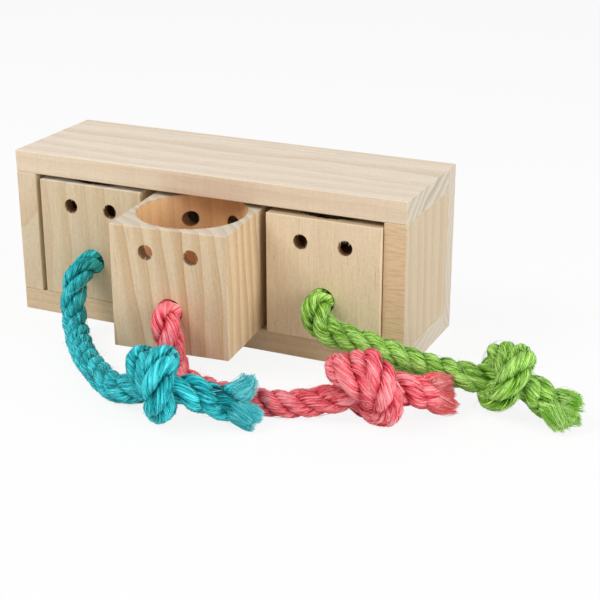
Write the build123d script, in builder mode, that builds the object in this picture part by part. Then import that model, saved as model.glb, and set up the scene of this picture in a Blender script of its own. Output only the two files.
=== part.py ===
"""Wooden treat box: an open-fronted pine case with three drawer blocks side by side.

Each block is bored from the top as a treat cup, has two smell holes near its top,
and is drawn out by a length of knotted sisal rope through its front wall.
Millimetres, +Z up, the open front faces -Y, origin at the middle of the base.
"""

import os
from math import cos, radians, tan

from build123d import *

os.makedirs("parts", exist_ok=True)

# Drawer blocks, each cut from one piece of pine
drawer_width = 62.0
drawer_depth = 61.5
drawer_height = 64.5
cup_wall = 2.75
cup_floor = 6.0
smell_hole_diameter = 8.0
smell_hole_spacing = 24.0
smell_hole_drop = 13.0
rope_hole_diameter = 13.5
rope_hole_height = 22.0

# Room that the drawers have in the case
slide_gap = 0.1
headroom = 2.4
rear_gap = 0.5
left_gap = 2.5
right_gap = 0.3
middle_gap = 11.2

# How the drawers stand: the left one shut, the right one a little proud,
# the middle one pulled well out and turned a few degrees in its bay
right_pull = 2.0
middle_pull = 46.5
middle_turn_degrees = 5.0
middle_clearance = 0.3

# Case boards
top_thickness = 12.0
bottom_thickness = 12.0
side_thickness = 12.0
back_thickness = 10.0
edge_ease = 0.6

# Blind dowels that hold the sides to the top, the base and the back
dowel_diameter = 6.0
dowel_in_side = 15.0
dowel_in_board = 8.0
dowel_in_back = 6.0
dowel_glue_gap = 0.05
dowel_end_gap = 0.5
dowel_end_chamfer = 0.6
dowel_shares = (0.25, 0.75)
back_dowel_shares = (0.36, 0.64)

# Sisal rope, and the overhand knots in it, where it is squeezed thinner
rope_diameter = 12.0
knot_tube_diameter = 7.5
knot_size = 10.5
stopper_setback = 20.6
exit_lead = 9.0
approach_lead = 12.0
tail_width = 16.0
tail_thickness = 11.0
bend_share = 0.45
gap_samples = 160

# One half of an overhand knot's centre line, from its middle outwards: shares of
# knot_size along the rope, across it and through it. The other half is the same
# line turned half round about the across direction.
overhand_shares = (
    (0.00, 1.35, 0.00),
    (-0.60, 1.20, 0.75),
    (-0.95, 0.25, 1.15),
    (-0.95, -0.75, 0.90),
    (-0.70, -1.30, 0.10),
    (-0.15, -1.15, -0.60),
    (0.25, -0.20, -0.75),
    (0.60, 0.35, -0.20),
    (1.10, 0.35, 0.00),
    (1.50, 0.35, 0.00),
)

# Sizes that follow from these: the cup takes up all but a thin wall of the block
cup_diameter = min(drawer_width, drawer_depth) - 2 * cup_wall
opening_width = 3 * drawer_width + left_gap + middle_gap + right_gap
opening_depth = drawer_depth + rear_gap
opening_height = slide_gap + drawer_height + headroom
case_width = opening_width + 2 * side_thickness
case_depth = opening_depth + back_thickness
case_height = bottom_thickness + opening_height + top_thickness
front_y = -case_depth / 2
back_y = front_y + opening_depth
top_z = bottom_thickness + opening_height
side_x = (opening_width + side_thickness) / 2
drawer_z = bottom_thickness + slide_gap
left_drawer_x = -opening_width / 2 + left_gap + drawer_width / 2
right_drawer_x = opening_width / 2 - right_gap - drawer_width / 2
middle_reach = drawer_width / 2 * cos(radians(middle_turn_degrees))
middle_drawer_x = right_drawer_x - drawer_width / 2 - middle_clearance - middle_reach

dowel_hole_radius = dowel_diameter / 2 + dowel_glue_gap
dowel_y = [front_y + opening_depth * share for share in dowel_shares]
dowel_spots = [(x, y) for x in (-side_x, side_x) for y in dowel_y]
back_dowel_z = [bottom_thickness + opening_height * share for share in back_dowel_shares]
back_dowel_spots = [(x, z) for x in (-side_x, side_x) for z in back_dowel_z]

UP = (180, 0, 0)
INTO_CASE = (90, 0, 0)
OUT_OF_CASE = (-90, 0, 0)


def save(builder, name):
    """Label a finished piece and write it as its own file."""
    builder.part.label = name
    export_step(builder.part, f"parts/{name}.step")


# Top board, grain along its length, drilled from below for the side dowels
with BuildPart(Plane((0, front_y, top_z))) as top_board:
    Box(case_width, opening_depth, top_thickness, align=(Align.CENTER, Align.MIN, Align.MIN))
    fillet(top_board.edges(), radius=edge_ease)
    with Locations(*[Location((x, y - front_y, 0), UP) for x, y in dowel_spots]):
        Hole(dowel_hole_radius, depth=dowel_in_board)
save(top_board, "top_board")

# Bottom board, which the drawers slide on, drilled from above
with BuildPart(Plane((0, front_y, 0))) as bottom_board:
    Box(case_width, opening_depth, bottom_thickness, align=(Align.CENTER, Align.MIN, Align.MIN))
    fillet(bottom_board.edges(), radius=edge_ease)
    with Locations(*[(x, y - front_y, bottom_thickness) for x, y in dowel_spots]):
        Hole(dowel_hole_radius, depth=dowel_in_board)
save(bottom_board, "bottom_board")

# Side panels between the two boards, with dowel holes in both ends and the rear edge
for side_name, x_side in (("left_side", -side_x), ("right_side", side_x)):
    with BuildPart(Plane((x_side, front_y, bottom_thickness))) as side_panel:
        Box(side_thickness, opening_depth, opening_height,
            align=(Align.CENTER, Align.MIN, Align.MIN))
        fillet(side_panel.edges(), radius=edge_ease)
        with Locations(*[(0, y - front_y, opening_height) for y in dowel_y]):
            Hole(dowel_hole_radius, depth=dowel_in_side)
        with Locations(*[Location((0, y - front_y, 0), UP) for y in dowel_y]):
            Hole(dowel_hole_radius, depth=dowel_in_side)
        with Locations(*[Location((0, opening_depth, z - bottom_thickness), OUT_OF_CASE)
                         for z in back_dowel_z]):
            Hole(dowel_hole_radius, depth=dowel_in_side)
    save(side_panel, side_name)

# Back board over the whole rear, drilled from its inner face
with BuildPart(Plane((0, back_y, 0))) as back_board:
    Box(case_width, back_thickness, case_height, align=(Align.CENTER, Align.MIN, Align.MIN))
    fillet(back_board.edges(), radius=edge_ease)
    with Locations(*[Location((x, 0, z), INTO_CASE) for x, z in back_dowel_spots]):
        Hole(dowel_hole_radius, depth=dowel_in_back)
save(back_board, "back_board")

# Dowels, glued blind: half of each in the side panel, half in the board it holds
board_dowel_length = dowel_in_side + dowel_in_board - 2 * dowel_end_gap
top_dowel_z = top_z - dowel_in_side + dowel_end_gap
bottom_dowel_z = bottom_thickness - dowel_in_board + dowel_end_gap
for dowel_name, dowel_z in (("top_dowels", top_dowel_z), ("bottom_dowels", bottom_dowel_z)):
    with BuildPart() as dowels:
        with Locations(*[(x, y, dowel_z) for x, y in dowel_spots]):
            Cylinder(dowel_diameter / 2, board_dowel_length,
                     align=(Align.CENTER, Align.CENTER, Align.MIN))
        chamfer(dowels.edges().filter_by(GeomType.CIRCLE), length=dowel_end_chamfer)
    save(dowels, dowel_name)

back_dowel_length = dowel_in_side + dowel_in_back - 2 * dowel_end_gap
back_dowel_y = back_y - dowel_in_side + dowel_end_gap
with BuildPart() as back_dowels:
    with Locations(*[Location((x, back_dowel_y, z), OUT_OF_CASE) for x, z in back_dowel_spots]):
        Cylinder(dowel_diameter / 2, back_dowel_length,
                 align=(Align.CENTER, Align.CENTER, Align.MIN))
    chamfer(back_dowels.edges().filter_by(GeomType.CIRCLE), length=dowel_end_chamfer)
save(back_dowels, "back_dowels")


def drawer_seat(x, pull, turn_degrees):
    """The plane under a drawer's front edge: X across, Y into the case, Z up."""
    return Plane((x, front_y - pull, drawer_z)).rotated((0, 0, turn_degrees))


left_seat = drawer_seat(left_drawer_x, 0, 0)
middle_seat = drawer_seat(middle_drawer_x, middle_pull, middle_turn_degrees)
right_seat = drawer_seat(right_drawer_x, right_pull, 0)

# Drawer blocks: bored from the top, two smell holes right through, a rope hole in front
smell_hole_x = (-smell_hole_spacing / 2, smell_hole_spacing / 2)
smell_hole_z = drawer_height - smell_hole_drop
drawers = (
    ("left_drawer", left_seat),
    ("middle_drawer", middle_seat),
    ("right_drawer", right_seat),
)
for drawer_name, seat in drawers:
    with BuildPart(seat) as drawer:
        Box(drawer_width, drawer_depth, drawer_height,
            align=(Align.CENTER, Align.MIN, Align.MIN))
        fillet(drawer.edges(), radius=edge_ease)
        with Locations((0, drawer_depth / 2, drawer_height)):
            Hole(cup_diameter / 2, depth=drawer_height - cup_floor)
        with Locations(*[Location((x, 0, smell_hole_z), INTO_CASE) for x in smell_hole_x]):
            Hole(smell_hole_diameter / 2, depth=drawer_depth + edge_ease)
        with Locations(Location((0, 0, rope_hole_height), INTO_CASE)):
            Hole(rope_hole_diameter / 2, depth=drawer_depth / 2)
    save(drawer, drawer_name)


def bend_radii(points):
    """The largest arc that each corner's two runs leave room for."""
    radii = []
    for before, corner, after in zip(points, points[1:], points[2:]):
        run_in = corner - before
        run_out = after - corner
        half_turn = radians(run_in.get_angle(run_out) / 2)
        radii.append(bend_share * min(run_in.length, run_out.length) / tan(half_turn))
    return radii


def rope_tube(points, diameter):
    """A round tube along straight runs joined by tangent arcs, and its path."""
    with BuildPart() as tube:
        with BuildLine() as path:
            FilletPolyline(*points, radius=bend_radii(points))
        with BuildSketch(Plane(points[0], z_dir=points[1] - points[0])):
            Circle(diameter / 2)
        sweep(path=path.wires()[0])
    return tube, path.wires()[0]


def knot_frame(centre, heading, roll_degrees):
    """A plane at a knot: Z along the rope, X across the knot."""
    along = Vector(heading).normalized()
    across = Vector(0, 0, 1) - along * along.Z
    across = across.rotate(Axis((0, 0, 0), along), roll_degrees)
    return Plane(centre, x_dir=across, z_dir=along)


def knot_points(frame):
    """The overhand knot's centre line in its own frame, from tail to head."""
    head = [(across, through, along) for along, across, through in overhand_shares]
    tail = [(across, -through, -along) for across, through, along in reversed(head[1:])]
    return [frame.from_local_coords(Vector(*point) * knot_size) for point in tail + head]


def least_gap(path, diameter):
    """The least clear space between stretches of a tube that are not neighbours."""
    spots = [path.position_at(step / gap_samples) for step in range(gap_samples + 1)]
    apart = int(gap_samples * 2 * diameter / path.length)
    return min((a - b).length for i, a in enumerate(spots) for b in spots[i + apart:]) - diameter


def make_rope(colour, seat, route, knot, tail_end):
    """A drawer's pull: stopper knot in the cup, rope to the outer knot, frayed tail.

    The route starts at the rope hole's mouth; its points are steps right of it and
    in front of it, and heights above the base.
    """
    mouth = seat.from_local_coords(Vector(0, 0, rope_hole_height))
    outwards = seat.y_dir * -1
    stopper_axis = mouth - outwards * stopper_setback
    stopper_frame = knot_frame(stopper_axis, outwards, knot["stopper_roll"])
    side_step = stopper_frame.x_dir * (overhand_shares[-1][1] * knot_size)
    stopper_frame = knot_frame(stopper_axis - side_step, outwards, knot["stopper_roll"])
    stopper_points = knot_points(stopper_frame)
    stopper, stopper_path = rope_tube(stopper_points, knot_tube_diameter)
    save(stopper, f"{colour}_stopper_knot")

    outer_frame = knot_frame(knot["centre"], knot["heading"], knot["roll"])
    outer_points = knot_points(outer_frame)
    outer, outer_path = rope_tube(outer_points, knot_tube_diameter)
    save(outer, f"{colour}_outer_knot")

    approach = outer_points[0] - outer_frame.z_dir * approach_lead
    lying = [Vector(mouth.X + right, mouth.Y - ahead, height) for right, ahead, height in route]
    rope_points = [stopper_points[-1], mouth + outwards * exit_lead, *lying, approach,
                   outer_points[0]]
    rope, rope_path = rope_tube(rope_points, rope_diameter)
    save(rope, f"{colour}_rope")

    end_plane = Plane(tail_end, x_dir=(0, 0, 1), z_dir=Vector(tail_end) - outer_points[-1])
    with BuildPart() as tail:
        with BuildSketch(Plane(outer_points[-1], x_dir=(0, 0, 1), z_dir=outer_frame.z_dir)):
            Circle(rope_diameter / 2)
        with BuildSketch(end_plane):
            Ellipse(tail_thickness / 2, tail_width / 2)
        loft(ruled=True)
    save(tail, f"{colour}_tail")

    section = Face(Wire.make_circle(rope_diameter / 2)).area
    print(colour, "rope", round(rope_path.length, 1), "mm long, volume share",
          round(rope.part.volume / (section * rope_path.length), 3),
          "radii", [round(radius, 1) for radius in bend_radii(rope_points)])
    for knot_path in (stopper_path, outer_path):
        print(colour, "knot", round(knot_path.length, 1), "mm of rope, least gap",
              round(least_gap(knot_path, knot_tube_diameter), 2))


make_rope(
    "teal", left_seat,
    route=[(-0.5, 17, 29.5), (-0.3, 21, 19.5), (4.5, 27.5, 10), (14, 39, 6.3),
           (27.5, 55, 6.2), (43, 69.5, 6.4)],
    knot={"centre": (22, -127, 18.5), "heading": (0.97, -0.2, 0.1), "roll": 165,
          "stopper_roll": 89},
    tail_end=(73, -116, 8),
)
make_rope(
    "pink", middle_seat,
    route=[(2, 17.5, 32), (5.5, 22, 23.5), (11, 20.5, 14), (19.5, 16, 7.8),
           (31, 13.5, 6.2), (45, 14.5, 6.2), (58, 18, 6.2), (71, 19, 6.6)],
    knot={"centre": (112.7, -90.5, 18.5), "heading": (0.92, 0.34, 0.13), "roll": 200,
          "stopper_roll": 91},
    tail_end=(147, -67, 8),
)
make_rope(
    "green", right_seat,
    route=[(1.2, 16, 33), (6.5, 22, 30.5), (15, 23, 27), (27, 19, 22),
           (42, 14, 17), (57, 11.5, 14.5)],
    knot={"centre": (168.5, -51.8, 18.5), "heading": (1, -0.03, 0.03), "roll": 185,
          "stopper_roll": 90},
    tail_end=(203, -55, 7.5),
)
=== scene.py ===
"""Looks of the wooden treat box: bare pine boards and drawer blocks, and dyed sisal rope pulls."""

from math import radians, tau

import bpy
import numpy as np
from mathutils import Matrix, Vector


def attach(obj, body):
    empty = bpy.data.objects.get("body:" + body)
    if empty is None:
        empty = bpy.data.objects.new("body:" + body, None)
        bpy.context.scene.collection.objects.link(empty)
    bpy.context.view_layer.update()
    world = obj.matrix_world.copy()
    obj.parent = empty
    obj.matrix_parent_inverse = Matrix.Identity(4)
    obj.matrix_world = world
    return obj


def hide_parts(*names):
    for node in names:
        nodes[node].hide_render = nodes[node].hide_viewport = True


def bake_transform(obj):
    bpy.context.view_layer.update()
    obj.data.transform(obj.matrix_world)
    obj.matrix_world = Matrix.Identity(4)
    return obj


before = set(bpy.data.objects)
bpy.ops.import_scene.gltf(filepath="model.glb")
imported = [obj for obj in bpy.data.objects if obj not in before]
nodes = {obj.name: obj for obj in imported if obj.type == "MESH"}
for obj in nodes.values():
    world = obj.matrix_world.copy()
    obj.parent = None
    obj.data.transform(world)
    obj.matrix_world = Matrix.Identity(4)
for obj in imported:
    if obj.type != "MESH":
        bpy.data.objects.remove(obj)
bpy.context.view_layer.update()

# Top board of the case: one planed pine board, grain along its length, laid over the two
# side panels and glued down on blind dowels. Its growth rings stand at a slant, so they
# show as diagonal lines on the sawn ends and as wide faint stripes on the top.
MM = 0.001


def srgb(red, green, blue):
    """A colour from 0 to 255 as light: a straight toe, then a power of 2.4."""
    share = np.array((red, green, blue)) / 255
    light = np.where(share < 0.04045, share / 12.92, ((share + 0.055) / 1.055) ** 2.4)
    return (*(float(value) for value in light), 1.0)


sawn_end = srgb(211, 199, 179)
end_rings = srgb(146, 134, 116)
resin_brown = srgb(158, 114, 70)
saw_hollow = srgb(186, 136, 92)
bored_early, bored_late = srgb(242, 201, 148), srgb(186, 137, 90)
# Dark brown painted as shade into the holes and thin front and back walls of the bored blocks.
hole_shade_brown = srgb(122, 86, 54)
ring_waver = 1.9


def metres(lengths):
    """Lengths in millimetres as metres."""
    return tuple(length * MM for length in lengths)


def add_node(tree, kind, inputs=None, **settings):
    """One shader node, with its own settings and its inputs linked or set."""
    made = tree.nodes.new(kind)
    for field, value in settings.items():
        setattr(made, field, value)
    for socket, value in (inputs or {}).items():
        if isinstance(value, bpy.types.NodeSocket):
            tree.links.new(value, made.inputs[socket])
        else:
            made.inputs[socket].default_value = value
    return made


def calc(tree, operation, *values):
    """One sum on numbers or sockets."""
    inputs = dict(enumerate(values))
    return add_node(tree, "ShaderNodeMath", inputs, operation=operation).outputs[0]


def vector_calc(tree, operation, *values):
    """One sum on vectors, as its outputs: a Vector, or a Value where the sum gives a number."""
    inputs = dict(enumerate(values))
    return add_node(tree, "ShaderNodeVectorMath", inputs, operation=operation).outputs


def vector(tree, x=0.0, y=0.0, z=0.0):
    """Three numbers or sockets as one vector."""
    return add_node(tree, "ShaderNodeCombineXYZ", {0: x, 1: y, 2: z}).outputs[0]


def split(tree, whole):
    """The three numbers that a vector is made of."""
    return add_node(tree, "ShaderNodeSeparateXYZ", {0: whole}).outputs


def blend_colours(tree, share, first, second, way="MIX"):
    """The first colour turned into the second by a share."""
    made = add_node(tree, "ShaderNodeMix", {0: share, 6: first, 7: second},
                    data_type="RGBA", blend_type=way)
    return made.outputs[2]


def noise(tree, at, detail=2.0, rough=0.5):
    """Soft noise about 0.5, one grain of it per unit of the vector."""
    inputs = {"Vector": at, "Scale": 1.0, "Detail": detail, "Roughness": rough}
    return add_node(tree, "ShaderNodeTexNoise", inputs).outputs[0]


def ramp(tree, value, *stops):
    """A number led through (place, height) stops."""
    made = add_node(tree, "ShaderNodeValToRGB", {0: value})
    marks = made.color_ramp.elements
    while len(marks) < len(stops):
        marks.new(0.5)
    for mark, (place, height) in zip(marks, stops):
        mark.position = place
        mark.color = (height, height, height, 1)
    return made.outputs[0]


def pine(name, grain, pith, pale, late=srgb(206, 170, 124), end=srgb(230, 222, 208),
         lean=(0.0, 0.0), ring_width=5.0, ring_depth=0.5, end_depth=0.4, edge=None, bored=None):
    """Pine as a solid block, cut through its growth rings.

    A point's ring is its distance from the pith, a line along the grain that leans a
    little, over the ring width and shifted by slow noise. Each ring darkens slowly into
    late wood and ends sharply, in some years more than in others. Noise drawn out along
    the grain gives fibres and short resin lines. Where the face looks along the grain the
    same rings show grey on a paler end grain. An edge gives the front its own colour, by a
    share, and so much of the waves that a saw leaves. A bored block, given by its middle,
    half sizes, smell hole and turn, is browner on every face inside it, and is painted
    darkest in its holes and where its front or back wall is thin, as shade.
    """
    material = bpy.data.materials.new(name)
    material.use_nodes = True
    tree = material.node_tree
    shader = tree.nodes["Principled BSDF"]
    spot = add_node(tree, "ShaderNodeTexCoord").outputs
    parts = split(tree, spot["Object"])
    facing = split(tree, spot["Normal"])
    order = {"x": (1, 2, 0), "z": (0, 1, 2)}[grain]
    first, second, along = (calc(tree, "MULTIPLY", parts[axis], 1 / MM) for axis in order)
    first = calc(tree, "SUBTRACT", calc(tree, "MULTIPLY_ADD", along, lean[0], first), pith[0])
    second = calc(tree, "SUBTRACT", calc(tree, "MULTIPLY_ADD", along, lean[1], second), pith[1])

    def stretched(across, lengthwise, detail=2.0, rough=0.5):
        """Noise with so many grains per millimetre across the wood and along it."""
        at = vector(tree, calc(tree, "MULTIPLY", first, across),
                    calc(tree, "MULTIPLY", second, across),
                    calc(tree, "MULTIPLY", along, lengthwise))
        return noise(tree, at, detail, rough)

    away = vector_calc(tree, "LENGTH", vector(tree, first, second))["Value"]
    bent = calc(tree, "MULTIPLY_ADD", stretched(0.03, 0.008), ring_waver,
                calc(tree, "DIVIDE", away, ring_width))
    ring = ramp(tree, calc(tree, "FRACT", bent),
                (0.0, 0.08), (0.34, 0.03), (0.58, 0.5), (0.88, 0.72), (0.955, 1.0), (1.0, 0.08))
    year = add_node(tree, "ShaderNodeTexWhiteNoise", {"W": calc(tree, "FLOOR", bent)},
                    noise_dimensions="1D").outputs["Value"]
    ring = calc(tree, "MULTIPLY", ring, calc(tree, "MULTIPLY_ADD", year, 0.55, 0.45))

    fibre = stretched(1.8, 0.06, 4.0, 0.65)
    mottle = stretched(1.1, 0.6, 3.0, 0.6)
    resin = ramp(tree, stretched(1.7, 0.09, 1.0), (0.7, 0.0), (0.78, 1.0))
    cloud = stretched(0.05, 0.012, 1.0)
    streak = ramp(tree, fibre, (0.3, 0.8), (0.7, 1.06))
    fleck = ramp(tree, mottle, (0.3, 0.8), (0.7, 1.06))
    colour = blend_colours(tree, calc(tree, "MULTIPLY", ring, ring_depth), pale, late)
    colour = blend_colours(tree, calc(tree, "MULTIPLY", cloud, 0.25), colour, late)
    colour = blend_colours(tree, 0.6, colour, streak, "MULTIPLY")
    colour = blend_colours(tree, 0.5, colour, fleck, "MULTIPLY")
    colour = blend_colours(tree, calc(tree, "MULTIPLY", resin, 0.4), colour, resin_brown)

    endwise = ramp(tree, calc(tree, "ABSOLUTE", facing[order[2]]), (0.55, 0.0), (0.9, 1.0))
    speck = stretched(1.6, 1.6, 3.0, 0.7)
    pores = ramp(tree, speck, (0.3, 0.76), (0.65, 1.0))
    cells = blend_colours(tree, calc(tree, "MULTIPLY", ring, end_depth), end, end_rings)
    cells = blend_colours(tree, 0.4, cells, pores, "MULTIPLY")
    colour = blend_colours(tree, endwise, colour, cells)
    height = calc(tree, "MULTIPLY_ADD", speck, endwise, fibre)
    height = calc(tree, "MULTIPLY_ADD", ring, 0.5, height)
    if edge:
        own_colour, own_share, waves = edge
        tooth = noise(tree, vector(tree, calc(tree, "MULTIPLY", first, 0.12), 0.0,
                                   calc(tree, "MULTIPLY", along, 0.8)))
        front = ramp(tree, calc(tree, "MULTIPLY", facing[1], -1), (0.6, 0.0), (0.9, 1.0))
        tooth = calc(tree, "MULTIPLY", ramp(tree, tooth, (0.45, 0.0), (0.62, 1.0)), front)
        colour = blend_colours(tree, calc(tree, "MULTIPLY", front, own_share), colour, own_colour)
        colour = blend_colours(tree, calc(tree, "MULTIPLY", tooth, waves), colour, saw_hollow)
        height = calc(tree, "MULTIPLY_ADD", tooth, -3 * waves, height)
    if bored:
        middle, half, hole, turn_degrees = bored
        placed = {"Vector": spot["Object"], "Rotation": (0, 0, radians(turn_degrees)),
                  "Location": metres(middle)}
        own = add_node(tree, "ShaderNodeMapping", placed, vector_type="TEXTURE").outputs[0]
        upright = split(tree, own)[2]
        own = vector_calc(tree, "ABSOLUTE", own)[0]
        beside = split(tree, own)[0]
        from_hole = vector_calc(tree, "DISTANCE", vector(tree, beside, 0.0, upright),
                                metres(hole))["Value"]
        sides = split(tree, vector_calc(tree, "SUBTRACT", own, metres(half))[0])
        nearest = calc(tree, "MAXIMUM", calc(tree, "MAXIMUM", sides[0], sides[1]), sides[2])
        inside = ramp(tree, calc(tree, "MULTIPLY", nearest, -1 / MM), (0.25, 0.0), (0.95, 1.0))
        # Painted shade, dark brown: within 2.5 mm of the front or back, and within 4.2 mm of a smell
        # hole's middle.
        thin_wall_shade = ramp(tree, calc(tree, "MULTIPLY", sides[1], -200), (0.45, 0.85), (0.53, 0.0))
        smell_hole_shade = ramp(tree, calc(tree, "MULTIPLY", from_hole, 100), (0.41, 0.85), (0.43, 0.0))
        turned = ramp(tree, mottle, (0.3, 0.78), (0.7, 1.0))
        cut = blend_colours(tree, calc(tree, "MULTIPLY", ring, 0.4), bored_early, bored_late)
        cut = blend_colours(tree, 0.5, cut, turned, "MULTIPLY")
        cut = blend_colours(tree, calc(tree, "MAXIMUM", thin_wall_shade, smell_hole_shade), cut, hole_shade_brown)
        colour = blend_colours(tree, inside, colour, cut)
    tree.links.new(colour, shader.inputs["Base Color"])
    relief = {"Strength": 0.3, "Distance": 0.15 * MM, "Height": height}
    tree.links.new(add_node(tree, "ShaderNodeBump", relief).outputs[0], shader.inputs["Normal"])
    shader.inputs["Roughness"].default_value = 0.52
    shader.inputs["Specular IOR Level"].default_value = 0.4
    return material


def finish_wood(node, material):
    """Gives a wooden node its own pine."""
    nodes[node].data.materials.clear()
    nodes[node].data.materials.append(material)


# The top board's front face takes its own darker, yellower colour: painted shade, for the top face
# looking paler under the light from above.
finish_wood("top_board", pine(
    "top_pine", "x", pith=(70.0, -60.0), ring_width=6.5, ring_depth=0.7, end_depth=0.9,
    pale=srgb(239, 225, 206), late=srgb(209, 182, 149), end=sawn_end,
    edge=(srgb(228, 200, 161), 0.4, 0.05)))

# Bottom board: the same stock as the top, laid flat under the sides and glued on dowels. The
# drawer blocks slide on its planed upper face.
finish_wood("bottom_board", pine(
    "bottom_pine", "x", pith=(-40.0, 130.0), pale=srgb(226, 203, 168), end=sawn_end))

# Side panels: short boards with upright grain, set between the top and the bottom board.
# The right one was sawn from another plank, and its front edge keeps the waves of the saw.
finish_wood("left_side", pine(
    "left_side_pine", "z", pith=(-107.0, -14.0), lean=(0.0, 0.12), ring_width=5.5,
    pale=srgb(227, 208, 177)))
finish_wood("right_side", pine(
    "right_side_pine", "z", pith=(60.0, 150.0), lean=(0.0, 0.06), ring_width=11.0, ring_depth=0.6,
    pale=srgb(212, 193, 164), late=srgb(187, 159, 123), edge=(srgb(236, 201, 157), 0.6, 0.32)))

# Back board: a thinner board over the whole rear, glued on dowels. Its sawn ends show as a
# narrow strip behind the side panels.
finish_wood("back_board", pine(
    "back_pine", "x", pith=(90.0, 40.0), ring_width=4.5,
    pale=srgb(238, 223, 203), late=srgb(209, 184, 153), end=sawn_end))

# Dowels: turned wooden pegs, glued into blind holes where two boards of the case meet. They
# are hidden in the joints.
for pegs in ("top_dowels", "bottom_dowels", "back_dowels"):
    finish_wood(pegs, pine(
        f"{pegs}_wood", "z", pith=(0.0, 30.0), ring_width=2.0, ring_depth=0.3,
        pale=srgb(222, 192, 150)))

# Drawer blocks: pine with the grain upright, bored from the top as a treat cup, with smell
# holes near the top and a rope hole in front. Each is cut from another part of a plank, so
# one is striped and one is almost plain.
block_half = (31.0, 30.75, 32.25)
smell_hole = (12.0, 0.0, 19.25)
middle_turn = 5.0
finish_wood("left_drawer", pine(
    "left_drawer_pine", "z", pith=(-150.0, 60.0), lean=(0.04, 0.0), ring_width=8.0, ring_depth=0.6,
    pale=srgb(226, 207, 174), late=srgb(201, 166, 120),
    bored=((-66.5, -5.25, 44.35), block_half, smell_hole, 0.0)))
finish_wood("middle_drawer", pine(
    "middle_drawer_pine", "z", pith=(-88.0, -207.0), lean=(0.09, 0.0), ring_width=6.6, ring_depth=1.0,
    pale=srgb(233, 211, 176), late=srgb(194, 152, 102), end=srgb(217, 203, 182), end_depth=0.6,
    bored=((3.84, -51.87, 44.35), block_half, smell_hole, middle_turn)))
# The right block's end grain is painted darker and tanner, as shade: only a 2 mm strip of its top
# shows in front of the top board, in shadow.
finish_wood("right_drawer", pine(
    "right_drawer_pine", "z", pith=(75.0, 170.0), ring_width=9.0, ring_depth=0.25,
    pale=srgb(241, 220, 187), late=srgb(221, 189, 149), end=srgb(204, 180, 146),
    bored=((68.7, -7.25, 44.35), block_half, smell_hole, 0.0)))

# Splinters: where the drill left the wood, short slivers of pine still stand on the edges of
# the cups, the smell holes and the rope holes. A hole's rim is given by its step aside, its
# height, its radius and its number of slivers.
left_front, middle_front, right_front = (-66.5, -36.0), (6.518, -82.5), (68.7, -38.0)
cup_radius = 28.0
cup_rim_z = 76.6
cup_slivers = 90
rope_hole_z = 34.1
hole_rims = ((-12.0, 63.6, 4.0, 30), (12.0, 63.6, 4.0, 30), (0.0, rope_hole_z, 6.75, 14))


def unit(vectors):
    """Vectors of length one, one in each row."""
    return vectors / np.linalg.norm(vectors, axis=-1, keepdims=True)


def with_hubs(values):
    """One value for each point of closed tubes: those of the rings, and their mean at each end."""
    return np.concatenate((values.ravel(), values[:, (0, -1)].mean(axis=2).ravel()))


def tube_mesh(name, rings):
    """A mesh of closed tubes from an array of (tube, ring, place round the ring, xyz).

    Each ring is joined to the next by four-sided faces, and a fan closes each end on its middle.
    """
    tubes, _, around, _ = rings.shape
    spot = np.arange(rings.size // 3).reshape(rings.shape[:3])
    after = np.roll(spot, -1, axis=2)
    quads = np.stack((spot[:, :-1], after[:, :-1], after[:, 1:], spot[:, 1:]), axis=-1)
    quads = quads.reshape(-1, 4)
    hub = spot.size + np.arange(tubes * 2).reshape(tubes, 2, 1)
    hub = np.broadcast_to(hub, (tubes, 2, around))
    first = np.stack((hub[:, 0], after[:, 0], spot[:, 0]), axis=-1)
    last = np.stack((hub[:, 1], spot[:, -1], after[:, -1]), axis=-1)
    fans = np.concatenate((first, last)).reshape(-1, 3)
    hubs = rings[:, (0, -1)].mean(axis=2)
    points = np.concatenate((rings.reshape(-1, 3), hubs.reshape(-1, 3)))
    mesh = bpy.data.meshes.new(name)
    mesh.from_pydata((points * MM).tolist(), [], quads.tolist() + fans.tolist())
    mesh.polygons.foreach_set("use_smooth", np.ones(len(quads) + len(fans), bool))
    return mesh


def add_piece(name, mesh, material):
    """A finished mesh as a piece of the scene, with its material."""
    mesh.materials.append(material)
    made = bpy.data.objects.new(name, mesh)
    bpy.context.scene.collection.objects.link(made)
    return made


def sliver_mesh(name, paths, thickness, rng, lightness=1.0):
    """Thin three-sided tubes along paths of (sliver, step, xyz), each with its own thickness.

    Each also has its own shade, a random share of its lightness.
    """
    heading = unit(np.gradient(paths, axis=1))
    side = unit(np.cross(heading, rng.normal(size=(len(paths), 1, 3))))
    other = np.cross(heading, side)
    corner = np.arange(3)[:, None] / 3 * tau
    ring = side[:, :, None] * np.cos(corner) + other[:, :, None] * np.sin(corner)
    rings = paths[:, :, None] + ring * thickness[:, :, None, None]
    shade = rng.uniform(0, 1, (len(paths), 1, 1)) * np.reshape(lightness, (-1, 1, 1))
    shade = np.broadcast_to(shade, rings.shape[:3])
    mesh = tube_mesh(name, rings)
    mesh.attributes.new("shade", "FLOAT", "POINT").data.foreach_set("value", with_hubs(shade))
    return mesh


def sliver_finish(name, first, second):
    """A dull finish for slivers, each between two colours by its shade."""
    material = bpy.data.materials.new(name)
    material.use_nodes = True
    tree = material.node_tree
    shade = add_node(tree, "ShaderNodeAttribute", attribute_name="shade").outputs["Fac"]
    shader = tree.nodes["Principled BSDF"]
    tree.links.new(blend_colours(tree, shade, first, second), shader.inputs["Base Color"])
    shader.inputs["Roughness"].default_value = 0.6
    shader.inputs["Specular IOR Level"].default_value = 0.2
    return material


splinter_pine = sliver_finish("splinter_pine", srgb(240, 226, 200), srgb(200, 160, 112))


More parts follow.
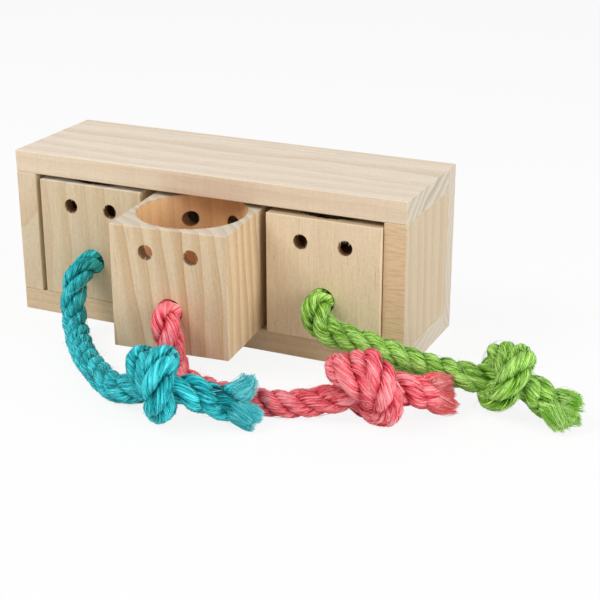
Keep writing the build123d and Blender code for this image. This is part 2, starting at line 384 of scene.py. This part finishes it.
def add_splinters(node, body, front, turn_degrees, seed):
    """Slivers round the cup's rim, most of them in front, and round the holes in the front wall.

    Each starts on its rim, runs a little way out of it and across it, and thins to a point.
    """
    rng = np.random.default_rng(seed)
    steps = np.linspace(0, 1, 4)[None, :, None]
    turn = radians(turn_degrees)
    right = np.array((np.cos(turn), np.sin(turn), 0.0))
    back = np.array((-np.sin(turn), np.cos(turn), 0.0))
    up = np.array((0.0, 0.0, 1.0))
    foot = np.array((*front, 0.0))
    angle = rng.normal(-2.0, 0.9, (cup_slivers, 1))
    spoke = right * np.cos(angle) + back * np.sin(angle)
    centre = foot + back * block_half[1] + up * cup_rim_z
    roots = [centre + spoke * (cup_radius + 0.05) - up * 0.1]
    runs = [np.cross(up, spoke) * rng.normal(0, 1.1, (cup_slivers, 1))
            - spoke * rng.uniform(0, 0.5, (cup_slivers, 1))
            + up * rng.uniform(0.05, 0.7, (cup_slivers, 1))]
    for step, height, radius, count in hole_rims:
        angle = rng.uniform(0, tau, (count, 1))
        spoke = right * np.cos(angle) + up * np.sin(angle)
        centre = foot + right * step + up * height
        roots.append(centre + spoke * (radius + 0.1) + back * 0.1)
        runs.append(up * rng.normal(0, 0.8, (count, 1)) - spoke * rng.uniform(0, 1.0, (count, 1))
                    + back * rng.uniform(-0.4, 0.5, (count, 1)))
    root, run = np.concatenate(roots)[:, None], np.concatenate(runs)[:, None]
    paths = root + run * steps + rng.normal(0, 0.12, (len(root), 1, 3)) * steps ** 2
    thickness = rng.uniform(0.1, 0.24, (len(root), 1)) * (1 - 0.9 * steps[..., 0] ** 1.5)
    made = add_piece(f"{node}_splinters", sliver_mesh(f"{node}_splinters", paths, thickness, rng),
                     splinter_pine)
    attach(made, body)


add_splinters("left_drawer", "left_pull", left_front, 0.0, 3)
add_splinters("middle_drawer", "middle_pull", middle_front, middle_turn, 4)
add_splinters("right_drawer", "right_pull", right_front, 0.0, 5)

# Teal pull of the left drawer: one length of three-strand dyed sisal, knotted inside the cup. It
# comes out of the rope hole, drops to the floor, and ends in an overhand knot with a short unlaid
# tail. Its line follows the solid rope's points, moved a little where the real one bends more.
overhand_shares = np.array((
    (0.00, 1.35, 0.00), (-0.60, 1.20, 0.75), (-0.95, 0.25, 1.15), (-0.95, -0.75, 0.90),
    (-0.70, -1.30, 0.10), (-0.15, -1.15, -0.60), (0.25, -0.20, -0.75), (0.60, 0.35, -0.20),
    (1.10, 0.35, 0.00), (1.50, 0.35, 0.00),
))
stopper_size = 10.5
stopper_setback = 20.6
approach_lead = 12.0
sample_step = 0.9
floor_gap = 0.15

rope_radius = 6.2
least_radius = 5.5
pressed_in = 2.0
loosened_place, loosened_reach = 16.0, 12.0
knot_swell = 0.18
tail_swell = 0.38
widest_split = 5.2

strand_place, strand_radius = 0.52, 0.55
strand_turn = 2.1
strand_shift = 370.0
ring_points = 54
packing_start, packing_share = 0.95, 0.85
fibre_winding = 2.1

fuzz_count, skin_count, stray_count, brush_count = 2600, 8000, 70, 1300
bare_rings = 5
fray_length = 9.0
tufts = 24


def knot_points(centre, heading, roll_degrees, size):
    """An overhand knot's control points: half of them given, the rest the same half turned over.

    Along is the rope's heading; across is upwards, turned by the roll about the heading.
    """
    along = unit(np.array(heading, float))
    up = unit(np.array((0.0, 0.0, 1.0)) - along * along[2])
    side = np.cross(along, up)
    roll = radians(roll_degrees)
    across = up * np.cos(roll) + side * np.sin(roll)
    through = np.cross(along, across)
    turned_over = (overhand_shares * (-1, 1, -1))[:0:-1]
    shares = np.concatenate((turned_over, overhand_shares)) * size
    return np.array(centre) + shares @ np.array((along, across, through))


def at_run(wanted, run, values):
    """Rows of values, read off at wanted lengths along a line."""
    return np.stack([np.interp(wanted, run, values[:, axis]) for axis in range(3)], axis=-1)


def smooth_line(points):
    """A second-degree NURBS line that these points control, read back at even steps."""
    curve = bpy.data.curves.new("route", "CURVE")
    curve.dimensions = "3D"
    curve.resolution_u = 24
    spline = curve.splines.new("NURBS")
    spline.points.add(len(points) - 1)
    spline.points.foreach_set("co", np.column_stack((points, np.ones(len(points)))).ravel())
    spline.order_u = 3
    spline.use_endpoint_u = True
    holder = bpy.data.objects.new("route", curve)
    mesh = bpy.data.meshes.new_from_object(holder)
    line = np.empty(len(mesh.vertices) * 3)
    mesh.vertices.foreach_get("co", line)
    line = line.reshape(-1, 3)
    bpy.data.objects.remove(holder)
    bpy.data.curves.remove(curve)
    bpy.data.meshes.remove(mesh)
    run = np.concatenate(((0,), np.cumsum(np.linalg.norm(np.diff(line, axis=0), axis=1))))
    even = np.linspace(0, run[-1], int(run[-1] / sample_step))
    return even, at_run(even, run, line)


def carried_frame(line):
    """A line's own direction, and two directions square to it that don't wind about it.

    They start from the fixed direction that lies furthest from all of the line's own, and
    are turned back by the angle that this one winds, summed along the line.
    """
    ahead = unit(np.gradient(line, axis=0))
    tries = unit(np.random.default_rng(5).normal(size=(400, 3)))
    fixed = tries[np.argmin(np.abs(tries @ ahead.T).max(axis=1))]
    side = unit(fixed - ahead * (ahead @ fixed)[:, None])
    other = np.cross(ahead, side)
    turn = -np.cumsum(np.einsum("ij,ij->i", np.gradient(side, axis=0), other))[:, None]
    cosine, sine = np.cos(turn), np.sin(turn)
    return ahead, side * cosine + other * sine, other * cosine - side * sine


def squeezed_radius(run, line, swollen):
    """The rope's radius along it: less where another pass of the rope presses on it.

    Half the way to the nearest other pass and a little more, smoothed over a diameter.
    Over each swollen stretch, given by its middle, reach and gain, the strands stand apart.
    """
    apart = np.linalg.norm(line[:, None] - line[None], axis=2)
    apart[np.abs(run[:, None] - run[None]) < 4 * rope_radius] = np.inf
    radius = np.clip(apart.min(axis=1) / 2 + pressed_in, least_radius, rope_radius)
    width = int(rope_radius / sample_step)
    window = np.ones(2 * width + 1) / (2 * width + 1)
    radius = np.convolve(np.pad(radius, width, "edge"), window, "valid")
    for place, reach, gain in swollen:
        radius = radius * (1 + gain * np.exp(-(((run - place) / reach) ** 4)))
    return radius


def strand_noise(rng, turns, run, count, reach):
    """Smooth noise about 0 on three strands: so many fibres round each, changing every reach.

    Random heights stand in a table of fibre by reach, and each point takes the four nearest,
    by shares that ease in and out.
    """
    table = rng.uniform(-1, 1, (3, int(run[-1] / reach) + 3, count))
    row, column = (run / reach)[None, :, None], turns * count
    low, left = np.floor(row).astype(int), np.floor(column).astype(int)
    down, over = row - low, column - left
    down, over = down * down * (3 - 2 * down), over * over * (3 - 2 * over)
    strand, right = np.arange(3)[:, None, None], (left + 1) % count
    left = left % count
    near = table[strand, low, left] * (1 - over) + table[strand, low, right] * over
    far = table[strand, low + 1, left] * (1 - over) + table[strand, low + 1, right] * over
    return near * (1 - down) + far * down


def sisal(name, deep, dyed, pale_and_highlight):
    """Dyed sisal: noise drawn out into fibres along the strand, and added to how far each stands out.

    It goes from dark, a painted shade deep in the grooves, by way of the dye to pale, a painted
    highlight on the proudest fibres; the noise gives dark and pale fibres as well.
    """
    material = bpy.data.materials.new(name)
    material.use_nodes = True
    tree = material.node_tree
    shader = tree.nodes["Principled BSDF"]
    place = add_node(tree, "ShaderNodeAttribute", attribute_name="fibre").outputs["Vector"]
    proud = add_node(tree, "ShaderNodeAttribute", attribute_name="proud").outputs["Fac"]

    def drawn_out(across, lengthwise, detail):
        """Noise with so many grains per millimetre across the fibres and along them."""
        scaled = vector_calc(tree, "MULTIPLY", place, (across, across, lengthwise))[0]
        return noise(tree, scaled, detail, 0.6)

    fine = drawn_out(2.3, 0.22, 3.0)
    coarse = drawn_out(0.45, 0.1, 2.0)
    share = calc(tree, "MULTIPLY_ADD", fine, 2.8, calc(tree, "MULTIPLY_ADD", coarse, 0.6, -1.8))
    # Painted shade and highlight: the more a point stands out, the paler it goes; deep in the grooves
    # it goes dark.
    share = calc(tree, "MULTIPLY_ADD", proud, 0.75, share)
    colour = blend_colours(tree, ramp(tree, share, (0.0, 0.0), (0.5, 1.0)), deep, dyed)
    colour = blend_colours(tree, ramp(tree, share, (0.5, 0.0), (1.0, 1.0)), colour, pale_and_highlight)
    tree.links.new(colour, shader.inputs["Base Color"])
    relief = {"Strength": 0.9, "Distance": 0.6 * MM, "Height": fine}
    tree.links.new(add_node(tree, "ShaderNodeBump", relief).outputs[0], shader.inputs["Normal"])
    shader.inputs["Roughness"].default_value = 0.6
    shader.inputs["Specular IOR Level"].default_value = 0.15
    return material


def strand_rings(rng, run, line, frame_of_line, radius, pitch, tail, ends):
    """Three strands laid round the line, as rings of points, and where their fibres lie.

    A strand's middle circles the line once in a pitch, at about half the rope's radius. Along
    the tail the rope swells, the circling slows down and each strand leans out towards its own
    end; the lay is turned so that the first strand meets its end. A ring is a circle with
    fibre ridges that wind back against the lay, so that they run along the rope, and is
    pressed flatter where it would stand out of the rope's round.
    """
    ahead, side, other = frame_of_line
    tail_share = np.clip((run - tail) / (run[-1] - tail), 0, 1)
    pace = tau / pitch * (1 + 0.1 * np.sin(run / 17)) * (1 - 0.5 * tail_share)
    lay = np.cumsum(np.gradient(run) * pace)
    spread = ends - line[-1]
    spread = spread - ahead[-1] * (spread @ ahead[-1])[:, None]
    spread = spread * np.minimum(1, widest_split / np.linalg.norm(spread, axis=1, keepdims=True))
    start = np.arctan2(spread[0] @ other[-1], spread[0] @ side[-1]) - lay[-1]
    strand = np.arange(3)[:, None]
    angle = start + lay + strand * tau / 3
    outwards = side * np.cos(angle)[..., None] + other * np.sin(angle)[..., None]
    radius = radius * (1 + tail_swell * (1 - np.exp(-np.maximum(run - tail, 0) / 5)))
    leaning = tail_share ** 2
    middle = (line + outwards * (strand_place * radius * (1 - leaning))[:, None]
              + leaning[:, None] * spread[:, None])
    heading = unit(np.gradient(middle, axis=1))
    outwards = unit(outwards - heading * (outwards * heading).sum(axis=2, keepdims=True))
    crosswise = np.cross(heading, outwards)

    turns = np.broadcast_to(np.arange(ring_points) / ring_points, (3, len(run), ring_points))
    winding = (run / pitch * tau * fibre_winding)[:, None] + strand[..., None] * strand_turn
    place = turns * tau - winding
    ridge = (0.05 * strand_noise(rng, turns, run, 9, 6.0)
             + 0.06 * strand_noise(rng, turns, run, 18, 3.2)
             + 0.05 * strand_noise(rng, turns, run, 27, 2.4))
    uneven = 1 + 0.06 * np.sin(run / 7.1 + strand * 2.4) + 0.04 * np.sin(run / 3.3 + strand * 4.1)
    thinned = 1 - 0.45 * np.clip((tail_share - 0.8) / 0.2, 0, 1) ** 2
    reach = (strand_radius * radius * thinned * uneven)[..., None] * (1 + ridge)
    rings = (middle[:, :, None] + outwards[:, :, None] * (reach * np.cos(place))[..., None]
             + crosswise[:, :, None] * (reach * np.sin(place))[..., None])
    spoke = rings - line[:, None]
    depth = np.linalg.norm(spoke, axis=-1) / radius[:, None]
    flattened = packing_start + (depth - packing_start) * packing_share
    packed = np.where(depth > packing_start, flattened, depth)
    rings = line[:, None] + spoke * (packed / depth)[..., None]
    rings[..., 2] = np.maximum(rings[..., 2], floor_gap)

    # How far each point stands out, with its fibre ridges; the sisal and the skin fibres paint shade
    # and highlight by it.
    proud = np.clip((depth - 0.5) / 0.5, 0, 1) + ridge * 4.0
    skin = 0.5 * rope_radius
    along = np.broadcast_to(run[:, None] + strand[..., None] * strand_shift, turns.shape)
    fibres = np.stack((np.cos(turns * tau) * skin, np.sin(turns * tau) * skin, along), axis=-1)
    return rings, fibres, proud, packed, middle, heading


def strand_mesh(name, rings, fibres, proud):
    """A mesh of strands that knows its fibres: places round the strand and along it, and height."""
    mesh = tube_mesh(name, rings)
    lengthwise = np.stack([with_hubs(fibres[..., axis]) for axis in range(3)], axis=-1).ravel()
    mesh.attributes.new("fibre", "FLOAT_VECTOR", "POINT").data.foreach_set("vector", lengthwise)
    mesh.attributes.new("proud", "FLOAT", "POINT").data.foreach_set("value", with_hubs(proud))
    return mesh


def fuzz_paths(rng, rings, depth, line, ahead, count):
    """Short fibres that stand off the rope: each leaves along the rope and curls outwards.

    Its way grows with the step, and its curl with the step squared.
    """
    outer = np.flatnonzero(depth > 0.85)
    strand, place, turn = np.unravel_index(rng.choice(outer, count), depth.shape)
    root = rings[strand, place, turn]
    outwards = unit(root - line[place])
    way = ahead[place] * rng.choice((-1, 1), count)[:, None] + rng.normal(0, 0.4, (count, 3))
    curl = outwards * rng.uniform(-0.1, 0.6, (count, 1)) + rng.normal(0, 0.4, (count, 3))
    steps = np.linspace(0, 1, 5)[None, :, None]
    length = 0.5 + 2.6 * rng.uniform(0, 1, (count, 1, 1)) ** 2
    return root[:, None] + length * (way[:, None] * steps + curl[:, None] * steps ** 2)


def skin_paths(rng, rings, middle, depth, proud, count):
    """Fibres on the strands' skin, and how light each is.

    Each runs along a column of the skin, drifts over its neighbours, and lifts at its ends.
    Those that lie deep between the strands are painted dark, as shade, and the proudest may be
    painted pale, as highlight.
    """
    steps = np.arange(4)
    longest = 2 * steps[-1]
    outer = np.flatnonzero(depth[:, :-longest] > 0.6)
    strand, place, turn = np.unravel_index(rng.choice(outer, count), depth[:, :-longest].shape)
    row = place[:, None] + steps * rng.choice((1, 2, 2), (count, 1))
    drift = steps * rng.normal(0, 1.5, (count, 1))
    column = np.rint(turn[:, None] + drift).astype(int) % ring_points
    skin = rings[strand[:, None], row, column]
    outwards = unit(skin - middle[strand[:, None], row])
    lift = 0.04 + 0.6 * rng.uniform(0, 1, (count, 1)) ** 3 * (steps / 1.5 - 1) ** 2
    # Painted shade and highlight: fibres deep between the strands get no lightness, proud ones the
    # most.
    lightness = np.clip((proud[strand, place, turn] - 0.35) / 0.55, 0, 1.4)
    return skin + outwards * lift[..., None] + rng.normal(0, 0.08, skin.shape), lightness


def stray_paths(rng, run, line, frame_of_line, radius, count):
    """Long loose fibres wound a little way round the rope, with their ends lifted off it."""
    _, side, other = frame_of_line
    steps = np.linspace(0, 1, 10)
    slant = rng.uniform(-0.9, 0.9, (count, 1))
    length = rng.uniform(7, 20, (count, 1))
    place = rng.uniform(run[0], run[-1] - 22, (count, 1)) + length * np.cos(slant) * steps
    turn = rng.uniform(0, tau, (count, 1)) + length * np.sin(slant) * steps / rope_radius
    lift = rng.uniform(0, 1.0, (count, 1)) * (2 * steps - 1) ** 4
    height = np.interp(place, run, radius) * 1.03 + 0.1 + lift
    outwards = (at_run(place, run, side) * np.cos(turn)[..., None]
                + at_run(place, run, other) * np.sin(turn)[..., None])
    return at_run(place, run, line) + outwards * height[..., None]


def brush_paths(rng, rings, middle, heading, end, count):
    """Fibres of a strand's frayed end, given by its place and half width, and how light each is.

    They leave its skin along its last stretch, bend once on the way, and gather in tufts,
    each with its own place in the cut end, its own length and its own lightness.
    """
    place = -rng.integers(1, int(fray_length / sample_step), count)
    column = rng.integers(0, ring_points, count)
    first = rings[place, column]
    spoke = unit(first - middle[place])
    first = first - spoke * 0.25
    tuft = column * tufts // ring_points
    tip_reach = end[3] * rng.uniform(0.3, 1.0, (tufts, 1))[tuft]
    tip_length = rng.normal(0, 1.5, (tufts, 1))[tuft]
    lightness = rng.uniform(0.1, 1.7, tufts)[tuft]
    tip_length = tip_length + rng.normal(0, 0.6, (count, 1))
    last = end[:3] + spoke * tip_reach + heading[-1] * tip_length + rng.normal(0, 0.25, (count, 3))
    bend = first + heading[place] * np.linalg.norm(last - first, axis=1, keepdims=True) * 0.55
    steps = np.linspace(0, 1, 6)[None, :, None]
    waver = rng.normal(0, 2.2, (count, 1, 3)) * steps * (1 - steps)
    waver = waver + rng.normal(0, 0.12, (count, steps.size, 3)) * steps
    paths = ((1 - steps) ** 2 * first[:, None] + 2 * steps * (1 - steps) * bend[:, None]
             + steps ** 2 * last[:, None] + waver)
    return paths, lightness


def add_fibres(name, paths, thickness, taper, finish, rng, lightness=1.0):
    """Fibres along their paths as one piece, kept off the floor.

    Each has a thickness of its own between two, times the taper's shares from root to tip.
    """
    paths[..., 2] = np.maximum(paths[..., 2], floor_gap)
    places, stops = np.linspace(0, 1, paths.shape[1]), np.linspace(0, 1, len(taper))
    thick = rng.uniform(*thickness, (len(paths), 1)) * np.interp(places, stops, taper)
    return add_piece(name, sliver_mesh(name, paths, thick, rng, lightness), finish)


def rope_pull(colour, mouth, outwards, exit_lead, route, knot, tail_points, ends, pitch, dyes, seed):
    """One drawer's rope: stopper knot, free rope with its outer knot and tail, and its fibres.

    The line goes through the stopper, out of the hole's mouth, along the route's steps from the
    floor below it to the right, to the front and up, through the outer knot and along the tail.
    Each strand ends at its own place, with the half width of its frayed end. Gives the stopper
    and the other pieces.
    """
    rng = np.random.default_rng(seed)
    mouth, outwards, ends = np.array(mouth), np.array(outwards), np.array(ends)
    stopper_roll = radians(knot["stopper_roll"])
    side_step = overhand_shares[-1, 1] * stopper_size
    sideways = np.cross(outwards, (0, 0, 1))
    across = np.array((0, 0, 1)) * np.cos(stopper_roll) + sideways * np.sin(stopper_roll)
    stopper = knot_points(mouth - outwards * stopper_setback - across * side_step, outwards,
                          knot["stopper_roll"], stopper_size)
    outer = knot_points(knot["centre"], knot["heading"], knot["roll"], knot["size"])
    outside_points = mouth * (1, 1, 0) + np.array(route) * (1, -1, 1)
    approach = outer[0] - unit(np.array(knot["heading"])) * approach_lead
    points = np.concatenate((stopper, (mouth + outwards * exit_lead,), outside_points, (approach,),
                             outer, tail_points))
    run, line = smooth_line(points)
    marks = (stopper[-1], mouth, outer[0], outer[-1])
    inside, hole, knot_start, knot_stop = (
        int(np.argmin(np.linalg.norm(line - mark, axis=1))) for mark in marks)
    knot_end = run[knot_stop]
    knot_half = (knot_end - run[knot_start]) / 2
    loosened = (run[hole] + loosened_place, loosened_reach, knot["loosened"])
    radius = squeezed_radius(run, line, (loosened, (knot_end - knot_half, knot_half, knot_swell)))
    frame_of_line = carried_frame(line)
    rings, fibres, proud, depth, middle, heading = strand_rings(
        rng, run, line, frame_of_line, radius, pitch, knot_end, ends[:, :3])

    groove_shade, shaded, dyed, pale_and_highlight, *fuzz_dyes, fray_dark, fray_pale = dyes
    slot = f"{colour}_sisal"
    material = sisal(slot, groove_shade, dyed, pale_and_highlight)
    lying = sliver_finish(f"{colour}_fibre", shaded, pale_and_highlight)
    loose = sliver_finish(f"{colour}_fuzz", *fuzz_dyes)
    frayed = sliver_finish(f"{colour}_fray", fray_dark, fray_pale)

    held, free = slice(0, inside + 1), slice(inside, None)
    name = f"{colour}_stopper_strands"
    mesh = strand_mesh(name, rings[:, held], fibres[:, held], proud[:, held])
    stop = add_piece(name, mesh, material)
    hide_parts(f"{colour}_stopper_knot")
    name = f"{colour}_rope_strands"
    mesh = strand_mesh(name, rings[:, free], fibres[:, free], proud[:, free])
    rope = add_piece(name, mesh, material)
    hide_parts(f"{colour}_rope", f"{colour}_outer_knot", f"{colour}_tail")

    shown = slice(hole + bare_rings, None)
    skin_rings, skin_depth = rings[:, shown], depth[:, shown]
    frame_shown = [part[shown] for part in frame_of_line]
    paths = fuzz_paths(rng, skin_rings, skin_depth, line[shown], frame_shown[0], fuzz_count)
    fuzz = add_fibres(f"{colour}_rope_fuzz", paths, (0.035, 0.07), (1.0, 0.5), loose, rng)
    paths, lightness = skin_paths(
        rng, skin_rings, middle[:, shown], skin_depth, proud[:, shown], skin_count)
    skin = add_fibres(f"{colour}_skin_fibres", paths, (0.05, 0.11), (0.6, 1.0, 1.0, 0.6), lying,
                      rng, lightness)
    paths = stray_paths(rng, run[shown], line[shown], frame_shown, radius[shown], stray_count)
    strays = add_fibres(f"{colour}_stray_fibres", paths, (0.06, 0.12), (1.0, 1.0), loose, rng)
    brushes = [brush_paths(rng, *strand, brush_count) for strand in zip(rings, middle, heading, ends)]
    paths, lightness = (np.concatenate(part) for part in zip(*brushes))
    fray = add_fibres(f"{colour}_tail_fray", paths, (0.07, 0.13), (1.0, 0.8), frayed, rng,
                      lightness)
    return stop, [rope, fuzz, skin, strays, fray]


stop, free_pieces = rope_pull(
    "teal", (*left_front, rope_hole_z), outwards=(0.0, -1.0, 0.0), exit_lead=9.0,
    route=[(-0.5, 17, 29.5), (-0.3, 21, 19.5), (4.5, 27.5, 10), (14, 39, 6.3), (27.5, 55, 6.2),
           (43, 69.5, 6.4)],
    knot={"centre": (23.4, -126.4, 17.8), "heading": (0.95, -0.2, 0.28), "roll": 174,
          "size": (11.3, 8.4, 9.6), "stopper_roll": 89, "loosened": 0.0},
    tail_points=[(49, -125, 14.5), (56, -121.5, 12.3), (64, -117.5, 10.3)],
    ends=[(63.8, -110, 17.6, 5.3), (68.5, -121.8, 4.5, 3.6), (70, -115.3, 6, 3.8)], pitch=33.0,
    dyes=(srgb(0, 46, 54), srgb(0, 106, 116), srgb(0, 172, 182), srgb(92, 242, 250),
          srgb(100, 226, 234), srgb(182, 246, 250), srgb(0, 186, 198), srgb(150, 252, 255)), seed=11,
)
for piece in (stop, *free_pieces):
    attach(piece, "left_pull")

# Pink pull of the middle drawer: the same sisal, dropped straight from the pulled-out drawer and
# led along the floor to its knot. Its stopper knot goes with the drawer; the rest, with the outer
# knot, stays where it lies.
turn = radians(middle_turn)
stop, free_pieces = rope_pull(
    "pink", (*middle_front, rope_hole_z), outwards=(np.sin(turn), -np.cos(turn), 0.0), exit_lead=8.5,
    route=[(5.4, 11.5, 29), (6.2, 11.5, 20.5), (8.6, 12, 12.4), (14, 15, 6.4),
           (29.5, 19, 5.6), (45, 20.5, 5.6), (58, 20, 5.6), (71, 18.2, 5.9)],
    knot={"centre": (113.2, -90.3, 17.6), "heading": (0.9, 0.33, 0.24), "roll": 202,
          "size": (10.2, 9.9, 9.9), "stopper_roll": 91, "loosened": 0.14},
    tail_points=[(132.5, -80, 14), (137, -74, 11.5), (141.5, -69, 10.2)],
    ends=[(142.3, -63, 15, 3.2), (148.3, -69, 5.5, 3.0), (144.3, -64, 8.5, 3.2)], pitch=31.0,
    dyes=(srgb(126, 0, 16), srgb(214, 40, 60), srgb(252, 88, 104), srgb(255, 180, 184),
          srgb(255, 116, 126), srgb(255, 196, 194), srgb(250, 70, 88), srgb(255, 200, 194)), seed=12,
)
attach(stop, "middle_pull")
for piece in free_pieces:
    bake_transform(piece)

# Green pull of the right drawer: the shortest of the three, which slopes from its hole to a small
# tight knot and lies on the floor only from there on. All of it goes with the drawer.
stop, free_pieces = rope_pull(
    "green", (*right_front, rope_hole_z), outwards=(0.0, -1.0, 0.0), exit_lead=7.5,
    route=[(1.0, 12, 32.5), (5.5, 13, 25.3), (14.5, 13, 23), (27, 13.5, 21.2), (42, 12.5, 17.6),
           (57, 11.5, 14.3)],
    knot={"centre": (168.2, -51.9, 17.3), "heading": (1, -0.03, 0.03), "roll": 130,
          "size": (8.4, 7.7, 8.4), "stopper_roll": 90, "loosened": 0.15},
    tail_points=[(186, -54.5, 11.5), (191.5, -56.5, 10), (198.5, -58.5, 8.5)],
    ends=[(202.2, -53.5, 11.5, 4.4), (199.5, -66.5, 4.5, 3.6), (203.5, -60, 6, 3.8)], pitch=32.0,
    dyes=(srgb(8, 44, 0), srgb(62, 118, 0), srgb(124, 186, 36), srgb(210, 254, 150),
          srgb(176, 230, 112), srgb(222, 250, 180), srgb(122, 196, 24), srgb(224, 255, 170)), seed=13,
)
for piece in (stop, *free_pieces):
    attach(piece, "right_pull")

# Floor: a plain sheet of pale paper, far wider than the view, that the box stands on. It shows
# white and keeps a soft shadow.
floor_half = 6.0
floor_white = 0.88


def seen_straight(tree):
    """One for rays from the camera, also by way of a mirror or through glass, and else nothing."""
    rays = add_node(tree, "ShaderNodeLightPath").outputs
    seen = calc(tree, "MAXIMUM", rays["Is Camera Ray"], rays["Is Glossy Ray"])
    return calc(tree, "MAXIMUM", seen, rays["Is Transmission Ray"])


floor_mesh = bpy.data.meshes.new("floor")
corners = np.array(((-1, -1, 0), (1, -1, 0), (1, 1, 0), (-1, 1, 0))) * floor_half
floor_mesh.from_pydata(corners.tolist(), [], [(0, 1, 2, 3)])
floor = bpy.data.objects.new("floor", floor_mesh)
bpy.context.scene.collection.objects.link(floor)
paper = bpy.data.materials.new("paper")
paper.use_nodes = True
sheet = paper.node_tree
matt = sheet.nodes["Principled BSDF"]
matt.inputs["Base Color"].default_value = (0.86, 0.86, 0.86, 1)
matt.inputs["Roughness"].default_value = 0.9
glow = add_node(sheet, "ShaderNodeEmission", {"Color": (1, 1, 1, 1), "Strength": 1.0})
glow_share = calc(sheet, "MULTIPLY", seen_straight(sheet), floor_white)
lit = add_node(sheet, "ShaderNodeMixShader", {0: glow_share, 1: matt.outputs[0], 2: glow.outputs[0]})
sheet.links.new(lit.outputs[0], sheet.nodes["Material Output"].inputs["Surface"])
floor_mesh.materials.append(paper)

# Light: a large soft lamp above and to the front left, another from the right, and a pale room
# that looks white.
world = bpy.data.worlds.new("room")
world.use_nodes = True
room = world.node_tree
walls = room.nodes["Background"]
room_light, room_white = 0.45, 1.0
brightness = calc(room, "MULTIPLY_ADD", seen_straight(room), room_white - room_light, room_light)
walls.inputs["Color"].default_value = (1.0, 1.0, 1.0, 1)
room.links.new(brightness, walls.inputs["Strength"])
bpy.context.scene.world = world


def soft_lamp(name, place, aim, size, power):
    """A square lamp that looks from its place to its aim."""
    lamp = bpy.data.lights.new(name, "AREA")
    lamp.size = size
    lamp.energy = power
    made = bpy.data.objects.new(name, lamp)
    made.location = place
    made.rotation_euler = (Vector(aim) - Vector(place)).to_track_quat("-Z", "Y").to_euler()
    bpy.context.scene.collection.objects.link(made)


soft_lamp("key", (-0.62, -0.7, 1.08), (0.02, -0.03, 0.03), 0.7, 10.4)
soft_lamp("fill", (1.2, -0.3, 0.5), (0.05, 0.0, 0.04), 0.8, 9.6)

# Camera: a long lens at the photograph's height and side, aimed just right of the box's middle.
# Colours show as they are, with no film curve.
azimuth, elevation = radians(24.37), radians(21.58)
camera_distance = 766.4
camera_data = bpy.data.cameras.new("camera")
camera_data.sensor_width = 36.0
camera_data.lens = 84.67
camera = bpy.data.objects.new("camera", camera_data)
aim = Vector((35.4, 8.8, 12.3)) * MM
level = np.cos(elevation)
back = Vector((np.sin(azimuth) * level, -np.cos(azimuth) * level, np.sin(elevation)))
camera.location = aim + back * camera_distance * MM
camera.rotation_euler = (-back).to_track_quat("-Z", "Y").to_euler()
bpy.context.scene.collection.objects.link(camera)
bpy.context.scene.camera = camera
bpy.context.scene.view_settings.view_transform = "Standard"
